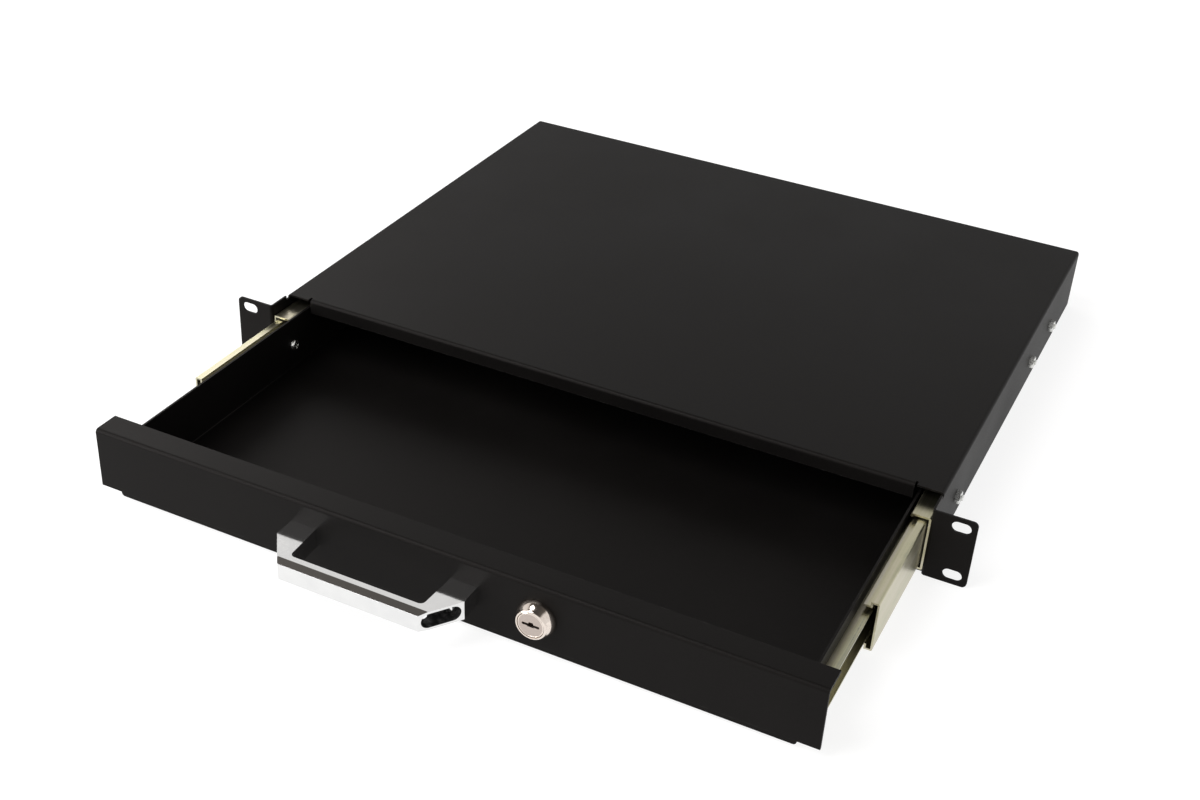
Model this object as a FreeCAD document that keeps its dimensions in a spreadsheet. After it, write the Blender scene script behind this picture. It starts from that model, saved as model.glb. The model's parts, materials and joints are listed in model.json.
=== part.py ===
import FreeCAD, Part
import math
import os

import Sketcher

# A one-unit 19 inch rack drawer: a folded sheet-steel casing with rack ears, a tray that runs
# on two three-member ball-bearing slides, a folded front with a bridge pull and a cam lock.
# Millimetres.  X to the right, Y to the rear, Z up.  The origin is the centre of the four
# slots of the rack ears, in the plane of the ears' front faces.  The drawer stands part open.

# Every size that can be chosen by itself, in the order in which the sheet lists them.
SIZES = {
    # rack ears
    "unitHeight": 43.7,
    "earWidth": 24.5,
    "slotInset": 8.75,
    "slotPitchZ": 31.75,
    "slotWidth": 6.6,
    "slotLength": 11.0,
    "earRadius": 3.0,
    # casing
    "casingWidth": 433.6,
    "rearGap": 9.0,
    "casingSheet": 1.2,
    "foldRadius": 2.2,
    "mouthDepth": 19.0,
    "lipHeight": 9.2,
    "lipSetIn": 15.9,
    "footWidth": 12.0,
    "footStart": 3.0,
    "reliefLength": 3.2,
    "reliefDepth": 2.5,
    "reliefSlit": 1.5,
    # slides
    "slideThick": 12.7,
    "slideHeight": 35.0,
    "slideLength": 350.0,
    "slideFront": 2.0,
    "slideSeat": 0.15,
    "outerSheet": 1.2,
    "outerReach": 11.6,
    "outerLip": 2.3,
    "middleSheet": 1.0,
    "middleTop": 15.3,
    "middleStep": 6.8,
    "middleReach": 10.5,
    "grooveTop": 12.85,
    "grooveSheet": 1.15,
    "innerSheet": 1.0,
    "innerDepth": 6.7,
    "raceClear": 0.025,
    "webGap": 1.0,
    "cageSheet": 0.5,
    "cageLength": 150.0,
    "cageClear": 0.25,
    "bigBall": 3.4,
    "smallBall": 2.95,
    "ballPitch": 60.0,
    "windowClear": 0.1,
    # drawer
    "drawerOut": 164.4,
    "traySheet": 1.2,
    "trayPast": 0.5,
    "trayWall": 35.0,
    "trayBack": 30.5,
    "trayLift": 2.5,
    "trayFold": 2.0,
    "frontSheet": 1.5,
    "frontGap": 0.5,
    "frontLift": 6.4,
    "frontFlange": 16.4,
    "frontFold": 2.2,
    # bridge pull
    "pullShift": -28.3,
    "gripRise": 2.2,
    "pullSpan": 113.2,
    "pullFront": 84.0,
    "pullReach": 33.5,
    "pullShoulder": 13.0,
    "pullTall": 11.6,
    "pullLeg": 15.6,
    "pullTaper": 1.2,
    "pullBar": 8.0,
    "pullCorner": 3.0,
    "pullEdge": 1.2,
    "bevelDepth": 3.0,
    "bevelDrop": 1.2,
    "pullScrewInset": 8.6,
    "portLength": 20.0,
    "portHeight": 8.6,
    "portDepth": 8.5,
    # lock
    "lockShift": 62.5,
    "lockBarrel": 19.0,
    "lockLength": 20.0,
    "bezelBase": 22.0,
    "bezelFace": 18.0,
    "bezelRise": 7.0,
    "plugFace": 15.0,
    "plugSink": 0.2,
    "plugClear": 0.1,
    "keyLength": 10.0,
    "keyWidth": 2.0,
    "keyEye": 3.4,
    "keyDepth": 9.0,
    "camReach": 16.0,
    "camWidth": 11.0,
    "camRound": 3.5,
    "camSheet": 2.0,
    "camGap": 0.7,
    "camSquare": 7.0,
    "nutAcross": 23.0,
    "nutThick": 2.5,
    # screws
    "screwSize": 4.0,
    "screwClear": 0.1,
    "screwNutAcross": 7.0,
    "screwNutThick": 3.2,
    "screwTip": 1.3,
    "headCone": 6.3,
    "panHead": 8.0,
    "panThick": 2.4,
    "panTaper": 0.9,
    "traySink": 1.8,
    "pullThread": 11.0,
    "pullThreadClear": 1.0,
    "camScrew": 3.0,
    "camScrewHead": 7.4,
    "camScrewThick": 2.2,
    "camScrewLength": 7.0,
    "casingScrewFront": 54.0,
    "casingScrewMiddle": 120.0,
    "casingScrewRear": 64.0,
    "trayScrewFront": 14.4,
    "trayScrewRear": 35.6,
}


class Size:
    """A length that carries both its number and the sheet expression that gives it."""

    def __init__(self, number, text):
        self.number = number
        self.text = text

    def __add__(self, other):
        other = as_size(other)
        return Size(self.number + other.number, f"({self.text} + {other.text})")

    def __sub__(self, other):
        other = as_size(other)
        return Size(self.number - other.number, f"({self.text} - {other.text})")

    def __mul__(self, other):
        other = as_size(other)
        return Size(self.number * other.number, f"({self.text} * {other.text})")

    def __truediv__(self, other):
        other = as_size(other)
        return Size(self.number / other.number, f"({self.text} / {other.text})")

    def __neg__(self):
        return Size(-self.number, f"(-1 * {self.text})")


def as_size(value):
    """A plain number as a Size; a Size stays as it is."""
    if isinstance(value, Size):
        return value
    return Size(float(value), f"({float(value)!r})")


doc = FreeCAD.newDocument("rack_drawer")
sheet = doc.addObject("Spreadsheet::Sheet", "Sizes")
for row, (alias, number) in enumerate(SIZES.items(), start=1):
    sheet.set(f"A{row}", alias)
    sheet.set(f"B{row}", str(number))
    sheet.setAlias(f"B{row}", alias)
doc.recompute()


def size(alias):
    """The sheet's cell of that name, as a Size."""
    return Size(SIZES[alias], f"Sizes.{alias}")


# ---------------------------------------------------------------- shared places

top = size("unitHeight") / 2
bottom = -top
wall_out = size("casingWidth") / 2
wall_in = wall_out - size("casingSheet")
ear_end = wall_out + size("earWidth")
slide_half = size("slideHeight") / 2
slide_z = bottom + size("casingSheet") + size("slideSeat") + slide_half
tray_side = wall_in - size("slideThick")
tray_inside = tray_side - size("traySheet")
front_face = -size("drawerOut")
pull_screw = size("pullSpan") / 2 - size("pullScrewInset")
tray_face = front_face + size("frontSheet")
tray_floor = bottom + size("trayLift")
screw_radius = size("screwSize") / 2
screw_hole = screw_radius + size("screwClear")
slide_rear = size("slideFront") + size("slideLength")
slide_middle = size("slideFront") + size("slideLength") / 2
casing_rear = slide_rear + size("rearGap")
tray_rear = front_face + slide_rear + size("trayPast")
casing_screws_y = [
    size("slideFront") + size("casingScrewFront"),
    slide_rear - size("casingScrewMiddle"),
    slide_rear - size("casingScrewRear"),
]
first_tray_screw = front_face + size("slideFront") + size("trayScrewFront")
last_tray_screw = front_face + slide_rear - size("trayScrewRear")
tray_screws_y = [first_tray_screw, (first_tray_screw + last_tray_screw) / 2, last_tray_screw]

# Slide sections are drawn with s, the distance in from the casing's side wall, and v, the
# height above the slide's middle.
middle_web = size("outerSheet") + size("webGap")
ball_row = size("middleStep") + size("raceClear") * 2 + size("bigBall") / 2
big_ball_v = size("grooveTop") + size("raceClear") + size("bigBall") / 2
groove_under = size("grooveTop") - size("grooveSheet")
small_ball_v = groove_under - size("raceClear") - size("smallBall") / 2
inner_top = small_ball_v - size("smallBall") / 2 - size("raceClear")
inner_web = size("slideThick") - size("innerSheet")
inner_edge = size("slideThick") - size("innerDepth")
inner_cage_web = (middle_web + size("middleSheet") + inner_edge - size("cageSheet")) / 2
small_ball_row = (inner_edge + size("middleReach")) / 2

FRONT = FreeCAD.Rotation(FreeCAD.Vector(1, 0, 0), 90)
REAR = FreeCAD.Rotation(FreeCAD.Vector(1, 0, 0), -90)
RIGHT = FreeCAD.Rotation(FreeCAD.Vector(0, 1, 0), 90)
LEFT = FreeCAD.Rotation(FreeCAD.Vector(0, 1, 0), -90)
INWARD = {1: LEFT, -1: RIGHT}
OUTWARD = {1: RIGHT, -1: LEFT}
SIDES = {"left": -1, "right": 1}
SCREW_SIDES = 12  # flats on each plain screw and on the holes it passes through
BALL_SIDES = 8  # flats around each of the three prisms that share a ball


# ---------------------------------------------------------------- drawing helpers


def new_body(label):
    body = doc.addObject("PartDesign::Body", label)
    body.Label = label
    return body


def new_sketch(body, plane, offset=0):
    """A sketch on one of the body's origin planes, moved along the plane's positive axis."""
    sketch = body.newObject("Sketcher::SketchObject", f"{body.Name}_sketch")
    support = next(part for part in body.Origin.OriginFeatures if part.Role == f"{plane}_Plane")
    sketch.AttachmentSupport = [(support, "")]
    sketch.MapMode = "FlatFace"
    shift = as_size(offset)
    if plane == "XZ":
        shift = -shift
    sketch.AttachmentOffset = FreeCAD.Placement(FreeCAD.Vector(0, 0, shift.number), FreeCAD.Rotation())
    sketch.setExpression(".AttachmentOffset.Base.z", shift.text)
    return sketch


def bind(sketch, kind, where, value):
    """A driving dimension of the sketch, tied to the sheet."""
    value = as_size(value)
    index = sketch.addConstraint(Sketcher.Constraint(kind, *where, value.number))
    sketch.setExpression(f"Constraints[{index}]", value.text)


def pin(sketch, element, point, place):
    bind(sketch, "DistanceX", (-1, 1, element, point), place[0])
    bind(sketch, "DistanceY", (-1, 1, element, point), place[1])


def vector(place):
    return FreeCAD.Vector(as_size(place[0]).number, as_size(place[1]).number, 0)


def polygon(sketch, places):
    """A closed outline through the places, each corner dimensioned from the origin."""
    first = sketch.GeometryCount
    count = len(places)
    corners = [vector(place) for place in places]
    lines = [Part.LineSegment(corners[i], corners[(i + 1) % count]) for i in range(count)]
    sketch.addGeometry(lines)
    joints = [
        Sketcher.Constraint("Coincident", first + i, 2, first + (i + 1) % count, 1)
        for i in range(count)
    ]
    sketch.addConstraint(joints)
    for i, place in enumerate(places):
        pin(sketch, first + i, 1, place)


def rectangle(sketch, x1, y1, x2, y2):
    polygon(sketch, [(x1, y1), (x2, y1), (x2, y2), (x1, y2)])


def circle(sketch, place, radius):
    radius = as_size(radius)
    up = FreeCAD.Vector(0, 0, 1)
    element = sketch.addGeometry(Part.Circle(vector(place), up, radius.number))
    pin(sketch, element, 3, place)
    bind(sketch, "Radius", (element,), radius)


def many_sided(sketch, count, radius, place=(0, 0)):
    """A regular outline about the place, with its corners on the radius."""
    step = 2 * math.pi / count
    x, y = as_size(place[0]), as_size(place[1])
    radius = as_size(radius)
    polygon(sketch, [
        (x + radius * math.cos(step * (i + 0.5)), y + radius * math.sin(step * (i + 0.5)))
        for i in range(count)
    ])


def screw_cut(sketch, place, radius):
    """The outline of a hole with as many flats as its screw, each flat at the radius."""
    many_sided(sketch, SCREW_SIDES, radius / math.cos(math.pi / SCREW_SIDES), place)


def slot(sketch, place, length, width):
    """A slot with round ends, long in the sketch's X."""
    reach = (length - width) / 2
    radius = width / 2
    right = (as_size(place[0]) + reach, place[1])
    left = (as_size(place[0]) - reach, place[1])
    up = FreeCAD.Vector(0, 0, 1)
    rise = FreeCAD.Vector(0, radius.number, 0)
    quarter = math.pi / 2
    ends = [
        Part.ArcOfCircle(Part.Circle(vector(right), up, radius.number), -quarter, quarter),
        Part.ArcOfCircle(Part.Circle(vector(left), up, radius.number), quarter, 3 * quarter),
        Part.LineSegment(vector(right) + rise, vector(left) + rise),
        Part.LineSegment(vector(left) - rise, vector(right) - rise),
    ]
    first = sketch.GeometryCount
    sketch.addGeometry(ends)
    turn, back, upper, lower = first, first + 1, first + 2, first + 3
    ring = [turn, upper, back, lower]
    for element, following in zip(ring, ring[1:] + ring[:1]):
        sketch.addConstraint(Sketcher.Constraint("Tangent", element, 2, following, 1))
    pin(sketch, turn, 3, right)
    pin(sketch, back, 3, left)
    bind(sketch, "Radius", (turn,), radius)
    bind(sketch, "Radius", (back,), radius)


def plane_of(sketch):
    return sketch.AttachmentSupport[0][0].Role


def pad(body, sketch, length, toward=1, both=False):
    """Material from the sketch along its plane's axis, or half to each side."""
    length = as_size(length)
    feature = body.newObject("PartDesign::Pad", f"{body.Name}_pad")
    feature.Profile = sketch
    feature.Length = length.number
    feature.setExpression("Length", length.text)
    if both:
        feature.SideType = "Symmetric"
    feature.Reversed = (plane_of(sketch) == "XZ_Plane") == (toward > 0)
    doc.recompute()
    return feature


def pocket(body, sketch, length=None, toward=1, both=False):
    """A cut from the sketch: to a depth, or through everything when no length is given."""
    before = body.Shape.Volume
    feature = body.newObject("PartDesign::Pocket", f"{body.Name}_pocket")
    feature.Profile = sketch
    if length is None:
        feature.Type = "ThroughAll"
    else:
        length = as_size(length)
        feature.Length = length.number
        feature.setExpression("Length", length.text)
    if both:
        feature.SideType = "Symmetric"
    feature.Reversed = (plane_of(sketch) != "XZ_Plane") == (toward > 0)
    doc.recompute()
    if not body.Shape.Volume < before - 1e-6:
        raise RuntimeError(f"{feature.Name} cuts nothing")
    return feature


def narrow(feature, by, over):
    """Draws in a pad or pocket on every side, by that much over that length."""
    by, over = as_size(by), as_size(over)
    feature.TaperAngle = -math.degrees(math.atan2(by.number, over.number))
    feature.setExpression("TaperAngle", f"-atan2({by.text}; {over.text})")
    doc.recompute()


def revolve(body, sketch):
    """A full turn of the sketch about its vertical axis."""
    feature = body.newObject("PartDesign::Revolution", f"{body.Name}_turn")
    feature.Profile = sketch
    feature.ReferenceAxis = (sketch, ["V_Axis"])
    feature.Angle = 360.0
    doc.recompute()
    return feature


def straight_edges(shape, direction, places):
    """Names of the straight edges along an axis that pass through one of the places.

    A place gives two or three coordinates; None leaves a coordinate free.
    """
    axis = "XYZ".index(direction)
    found = []
    for number, edge in enumerate(shape.Edges, start=1):
        if edge.Degenerated or edge.Curve.TypeId != "Part::GeomLine":
            continue
        run = edge.Vertexes[-1].Point - edge.Vertexes[0].Point
        if abs(abs(run[axis]) - run.Length) > 1e-6:
            continue
        middle = edge.CenterOfMass
        for place in places:
            wanted = [None if value is None else as_size(value).number for value in place]
            if all(want is None or abs(want - middle[i]) < 0.01 for i, want in enumerate(wanted)):
                found.append(f"Edge{number}")
                break
    return found


def treat(body, kind, value, names):
    """A fillet or chamfer of one size on the named edges of the body's last feature."""
    if not names:
        raise RuntimeError(f"{body.Label}: no edge to treat")
    base = body.Tip
    value = as_size(value)
    feature = body.newObject(f"PartDesign::{kind}", f"{body.Name}_{kind.lower()}")
    feature.Base = (base, names)
    prop = "Radius" if kind == "Fillet" else "Size"
    setattr(feature, prop, value.number)
    feature.setExpression(prop, value.text)
    doc.recompute()
    if "Invalid" in feature.State:
        raise RuntimeError(f"{feature.Name}: {feature.getStatusString()}")
    return feature


def soften(body, kind, value, direction, places):
    """A fillet or chamfer on the straight edges at those places."""
    return treat(body, kind, value, straight_edges(body.Tip.Shape, direction, places))


def place(thing, x=0, y=0, z=0, turn=None):
    """Puts a body or primitive at a place that is tied to the sheet."""
    values = [as_size(value) for value in (x, y, z)]
    base = FreeCAD.Vector(*[value.number for value in values])
    thing.Placement = FreeCAD.Placement(base, turn or FreeCAD.Rotation())
    for axis, value in zip("xyz", values):
        thing.setExpression(f".Placement.Base.{axis}", value.text)


def group(label, members):
    """Identical loose pieces that share one node."""
    compound = doc.addObject("Part::Compound", label)
    compound.Label = label
    compound.Links = members
    return compound


nodes = []


def node(thing):
    nodes.append(thing)
    return thing


# ---------------------------------------------------------------- casing


def casing_shell():
    """Folded hood with side walls, rear wall, front lip, feet and the two rack ears."""
    body = new_body("casing_shell")
    sheet_t = size("casingSheet")
    mouth = size("mouthDepth")
    foot_in = wall_out - size("footWidth")
    inner_fold = size("foldRadius") - sheet_t

    hood = new_sketch(body, "XZ", mouth)
    polygon(hood, [
        (-wall_out, bottom), (-foot_in, bottom), (-foot_in, bottom + sheet_t),
        (-wall_in, bottom + sheet_t), (-wall_in, top - sheet_t), (wall_in, top - sheet_t),
        (wall_in, bottom + sheet_t), (foot_in, bottom + sheet_t), (foot_in, bottom),
        (wall_out, bottom), (wall_out, top), (-wall_out, top),
    ])
    pad(body, hood, casing_rear - mouth)

    back = new_sketch(body, "XZ", casing_rear - sheet_t)
    rectangle(back, -wall_in, bottom, wall_in, top - sheet_t)
    pad(body, back, sheet_t)

    cheeks = new_sketch(body, "XZ", size("footStart"))
    for side in (-1, 1):
        polygon(cheeks, [
            (wall_out * side, bottom), (foot_in * side, bottom), (foot_in * side, bottom + sheet_t),
            (wall_in * side, bottom + sheet_t), (wall_in * side, top), (wall_out * side, top),
        ])
    pad(body, cheeks, mouth - size("footStart"))

    notch = new_sketch(body, "YZ")
    rectangle(notch, mouth - size("reliefLength"), top - size("reliefDepth"), mouth, top + sheet_t)
    pocket(body, notch, both=True)

    shape = body.Tip.Shape
    outer = [(wall_out * side, None, z) for side in (-1, 1) for z in (bottom, top)]
    folds = [
        name for name in straight_edges(shape, "Y", outer)
        if shape.getElement(name).BoundBox.YMax > casing_rear.number - 1
    ]
    folds += straight_edges(shape, "Z", [(wall_out * side, casing_rear, None) for side in (-1, 1)])
    folds += straight_edges(shape, "X", [(0, casing_rear, top)])
    treat(body, "Fillet", size("foldRadius"), folds)
    soften(body, "Fillet", inner_fold, "Y", [
        (wall_in * side, None, z)
        for side in (-1, 1)
        for z in (bottom + sheet_t, top - sheet_t)
    ])

    lip_half = wall_in - size("lipSetIn")
    lip = new_sketch(body, "XZ", mouth)
    rectangle(lip, -lip_half, top - size("lipHeight"), lip_half, top - sheet_t)
    pad(body, lip, sheet_t)

    slits = new_sketch(body, "XY", top)
    for side in (-1, 1):
        slit_out = lip_half + size("reliefSlit")
        slit_end = mouth + size("foldRadius") + sheet_t
        rectangle(slits, lip_half * side, mouth - sheet_t, slit_out * side, slit_end)
    pocket(body, slits, sheet_t, toward=-1)
    soften(body, "Fillet", size("foldRadius"), "X", [(0, mouth, top)])
    soften(body, "Fillet", inner_fold, "X", [(0, mouth + sheet_t, top - sheet_t)])

    ears = new_sketch(body, "XY", bottom)
    for side in (-1, 1):
        polygon(ears, [
            (wall_in * side, size("footStart")), (wall_in * side, 0), (ear_end * side, 0),
            (ear_end * side, sheet_t), (wall_out * side, sheet_t), (wall_out * side, size("footStart")),
        ])
    pad(body, ears, size("unitHeight"))
    soften(body, "Fillet", size("foldRadius"), "Z", [(wall_in * side, 0, None) for side in (-1, 1)])
    soften(body, "Fillet", inner_fold, "Z", [(wall_out * side, sheet_t, None) for side in (-1, 1)])
    soften(body, "Fillet", size("earRadius"), "Y", [
        (ear_end * side, None, z) for side in (-1, 1) for z in (bottom, top)
    ])

    rack = new_sketch(body, "XZ")
    for x in (-1, 1):
        for z in (-1, 1):
            centre = ((ear_end - size("slotInset")) * x, size("slotPitchZ") / 2 * z)
            slot(rack, centre, size("slotLength"), size("slotWidth"))
    pocket(body, rack, sheet_t)

    side_holes(body, casing_screws_y)
    return node(body)


def casing_fixings():
    """Countersunk screws from inside the slides, each with a nut outside the casing."""
    screws = []
    nuts = []
    length = size("outerSheet") + size("casingSheet") + size("screwNutThick") + size("screwTip")
    for name, side in SIDES.items():
        for number, y in enumerate(casing_screws_y, start=1):
            fixing = screw(
                f"casing_screw_{name}_{number}", size("headCone") / 2, screw_radius,
                size("outerSheet"), screw_radius, length, -1,
            )
            seat = (wall_in - size("outerSheet")) * side
            place(fixing, seat, y, slide_z, INWARD[side])
            screws.append(fixing)

            nut = hex_nut(f"casing_nut_{name}_{number}", size("screwNutAcross"),
                          size("screwNutThick"), screw_hole, screw_cut)
            place(nut, wall_out * side, y, slide_z, OUTWARD[side])
            nuts.append(nut)
    node(group("casing_screws", screws))
    node(group("casing_nuts", nuts))


def hex_nut(label, across, thick, hole, draw_hole):
    """A hexagon nut on the plane z = 0, growing along +Z."""
    body = new_body(label)
    outline = new_sketch(body, "XY")
    many_sided(outline, 6, across / math.sqrt(3))
    draw_hole(outline, (0, 0), hole)
    pad(body, outline, thick)
    return body


def screw(label, head, head_end, thick, shank, length, toward):
    """A plain screw with flats: a shank from z = 0 down, and a head that narrows from z = 0.

    The head runs up for a pan head, or down over the shank for a countersunk one.
    """
    body = new_body(label)
    stem = new_sketch(body, "XY")
    many_sided(stem, SCREW_SIDES, shank)
    pad(body, stem, length, toward=-1)
    cap = new_sketch(body, "XY")
    many_sided(cap, SCREW_SIDES, head)
    narrow(pad(body, cap, thick, toward=toward), head - head_end, thick)
    return body


# ---------------------------------------------------------------- slides


def section(side, points):
    """Slide section points (s, v), above the middle, closed with their mirror image below."""
    upper = [((wall_in - s) * side, slide_z + v) for s, v in points]
    lower = [((wall_in - s) * side, slide_z - v) for s, v in reversed(points)]
    return upper + lower


def rail(label, side, points, start, length):
    body = new_body(label)
    profile = new_sketch(body, "XZ", start)
    polygon(profile, section(side, points))
    pad(body, profile, length)
    return body


def side_holes(body, places, draw_hole=screw_cut):
    """Screw holes through a wall or web, seen from the side."""
    holes = new_sketch(body, "YZ")
    for y in places:
        draw_hole(holes, (y, slide_z), screw_hole)
    pocket(body, holes, both=True)


def countersinks(body, places, side):
    """Holes through the outer rail's web that narrow toward the casing's wall."""
    wide = size("headCone") / 2 + size("screwClear")
    rims = new_sketch(body, "YZ", (wall_in - size("outerSheet")) * side)
    for y in places:
        screw_cut(rims, (y, slide_z), wide)
    holes = pocket(body, rims, size("outerSheet"), toward=side)
    narrow(holes, wide - screw_hole, size("outerSheet"))


def outer_rail(name, side):
    """Channel fixed to the casing wall, with lips that keep the outer balls in."""
    t = size("outerSheet")
    reach = size("outerReach")
    lip = slide_half - size("outerLip")
    body = rail(f"{name}_outer_rail", side, [
        (0, slide_half), (reach, slide_half), (reach, lip), (reach - t, lip),
        (reach - t, slide_half - t), (t, slide_half - t),
    ][::-1], size("slideFront"), size("slideLength"))
    countersinks(body, casing_screws_y, side)
    soften(body, "Fillet", t, "Y", [
        ((wall_in - s) * side, None, slide_z + slide_half * up) for s in (0, reach) for up in (-1, 1)
    ])
    return node(body)


def middle_rail(name, side):
    """The member that runs between the two ball rows; its flange steps down to a groove."""
    t = size("middleSheet")
    edge = middle_web
    step = size("middleStep")
    groove = size("grooveTop")
    start = size("slideFront") - size("drawerOut") / 2
    body = rail(f"{name}_middle_rail", side, [
        (edge + t, size("middleTop") - t), (step - t, size("middleTop") - t),
        (step - t, groove_under), (size("middleReach"), groove_under),
        (size("middleReach"), groove), (step, groove), (step, size("middleTop")),
        (edge, size("middleTop")),
    ], start, size("slideLength"))
    soften(body, "Fillet", t, "Y", [
        ((wall_in - edge) * side, None, slide_z + size("middleTop") * up) for up in (-1, 1)
    ])
    return node(body)


def inner_rail(name, side):
    """Channel fixed to the tray's side wall."""
    t = size("innerSheet")
    body = rail(f"{name}_inner_rail", side, [
        (inner_web, inner_top - t), (inner_edge, inner_top - t), (inner_edge, inner_top),
        (size("slideThick"), inner_top),
    ], size("slideFront") - size("drawerOut"), size("slideLength"))
    side_holes(body, tray_screws_y)
    return node(body)


def cage(label, side, points, middle, row, ball):
    """A ball retainer: a strip folded to a channel, with a window for each ball."""
    body = rail(label, side, points, middle - size("cageLength") / 2, size("cageLength"))
    windows = new_sketch(body, "XY", slide_z)
    reach = ball / 2 + size("windowClear")
    for i in (-1, 0, 1):
        x = (wall_in - row) * side
        y = middle + size("ballPitch") * i
        rectangle(windows, x - reach, y - reach, x + reach, y + reach)
    pocket(body, windows, both=True)
    return node(body)


def flat_sided_ball(label, ball):
    """A ball with eighteen flats: three eight-sided prisms that share their middle."""
    prisms = []
    corner = ball / 2 / math.cos(math.pi / BALL_SIDES)
    half_step = FreeCAD.Rotation(FreeCAD.Vector(0, 0, 1), 180 / BALL_SIDES)
    for turn in (FreeCAD.Rotation(), LEFT, FRONT):
        prism = doc.addObject("Part::Prism", f"{label}_prism")
        prism.Polygon = BALL_SIDES
        for prop, value in (("Circumradius", corner), ("Height", ball)):
            setattr(prism, prop, value.number)
            prism.setExpression(prop, value.text)
        start = turn.multVec(FreeCAD.Vector(0, 0, -1))
        place(prism, ball / 2 * start.x, ball / 2 * start.y, ball / 2 * start.z, turn * half_step)
        prisms.append(prism)
    common = doc.addObject("Part::MultiCommon", label)
    common.Shapes = prisms
    return common


def balls(label, side, middle, row, height, ball):
    members = []
    for i in (-1, 0, 1):
        for up in (-1, 1):
            member = flat_sided_ball(f"{label}_ball", ball)
            x = (wall_in - row) * side
            place(member, x, middle + size("ballPitch") * i, slide_z + height * up)
            members.append(member)
    node(group(label, members))


def ball_sets(name, side):
    """Outer and inner ball cages; a cage runs at the mean of the two rails it separates."""
    t = size("cageSheet")
    clear = size("cageClear")
    web = size("outerSheet") + clear
    arm = slide_half - size("outerSheet") - clear
    drop = size("middleStep") + clear + t
    end = size("outerReach") - size("outerSheet") - clear
    outer_middle = slide_middle - size("drawerOut") / 4
    cage(f"{name}_outer_cage", side, [
        (web + t, arm - t), (drop - t, arm - t), (drop - t, big_ball_v - t / 2),
        (end, big_ball_v - t / 2), (end, big_ball_v + t / 2), (drop, big_ball_v + t / 2),
        (drop, arm), (web, arm),
    ], outer_middle, ball_row, size("bigBall"))
    balls(f"{name}_outer_balls", side, outer_middle, ball_row, big_ball_v, size("bigBall"))

    inner_middle = slide_middle - size("drawerOut") * 3 / 4
    reach = size("middleReach") - clear
    cage(f"{name}_inner_cage", side, [
        (inner_cage_web + t, small_ball_v - t / 2), (reach, small_ball_v - t / 2),
        (reach, small_ball_v + t / 2), (inner_cage_web, small_ball_v + t / 2),
    ], inner_middle, small_ball_row, size("smallBall"))
    balls(f"{name}_inner_balls", side, inner_middle, small_ball_row, small_ball_v, size("smallBall"))


# ---------------------------------------------------------------- drawer


def grip_holes(body, face, thick, draw_hole=screw_cut):
    """Holes for the pull's screws and the lock, through the front or the tray behind it."""
    holes = new_sketch(body, "XZ", face)
    for x in (-1, 1):
        draw_hole(holes, (size("pullShift") + pull_screw * x, size("gripRise")), screw_hole)
    lock_hole = size("lockBarrel") / 2 + size("screwClear")
    circle(holes, (size("lockShift"), size("gripRise")), lock_hole)
    pocket(body, holes, thick)


def drawer_tray():
    """Open tray of folded sheet with a lower rear wall that passes under the casing's lip."""
    body = new_body("drawer_tray")
    t = size("traySheet")
    block = new_sketch(body, "XY", tray_floor)
    rectangle(block, -tray_side, tray_face, tray_side, tray_rear)
    pad(body, block, size("trayWall"))
    hollow = new_sketch(body, "XY", tray_floor + size("trayWall"))
    rectangle(hollow, -tray_inside, tray_face + t, tray_inside, tray_rear - t)
    pocket(body, hollow, size("trayWall") - t, toward=-1)
    low_back = new_sketch(body, "XZ", tray_rear)
    rectangle(low_back, -tray_inside, tray_floor + size("trayBack"), tray_inside,
              tray_floor + size("trayWall") + t)
    pocket(body, low_back, t, toward=-1)
    grip_holes(body, tray_face, t, circle)
    side_holes(body, tray_screws_y, circle)
    soften(body, "Fillet", size("trayFold"), "Y", [
        (tray_side * side, None, tray_floor) for side in (-1, 1)
    ])
    soften(body, "Fillet", size("trayFold") - t, "Y", [
        (tray_inside * side, None, tray_floor + t) for side in (-1, 1)
    ])
    return node(body)


def front_panel():
    """Folded front: a plate with one flange along its top."""
    body = new_body("front_panel")
    t = size("frontSheet")
    low = bottom + size("frontLift")
    back = front_face + size("frontFlange")
    profile = new_sketch(body, "YZ")
    polygon(profile, [
        (front_face, low), (front_face + t, low), (front_face + t, top - t),
        (back, top - t), (back, top), (front_face, top),
    ])
    pad(body, profile, (wall_in - size("frontGap")) * 2, both=True)
    grip_holes(body, front_face, t)
    soften(body, "Fillet", size("frontFold"), "X", [(0, front_face, top)])
    soften(body, "Fillet", size("frontFold") - t, "X", [(0, front_face + t, top - t)])
    return node(body)


def tray_fixings():
    """Pan-head screws from inside the tray into the inner rails."""
    screws = []
    for name, side in SIDES.items():
        for number, y in enumerate(tray_screws_y, start=1):
            length = size("traySheet") + size("innerSheet") + size("traySink")
            fixing = pan_screw(f"tray_screw_{name}_{number}", length)
            place(fixing, tray_inside * side, y, slide_z, INWARD[side])
            screws.append(fixing)
    node(group("tray_screws", screws))


def pan_screw(label, length):
    """A pan-head screw with the head's underside on z = 0."""
    head = size("panHead") / 2
    return screw(label, head, head - size("panTaper"), size("panThick"), screw_radius, length, 1)


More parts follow.
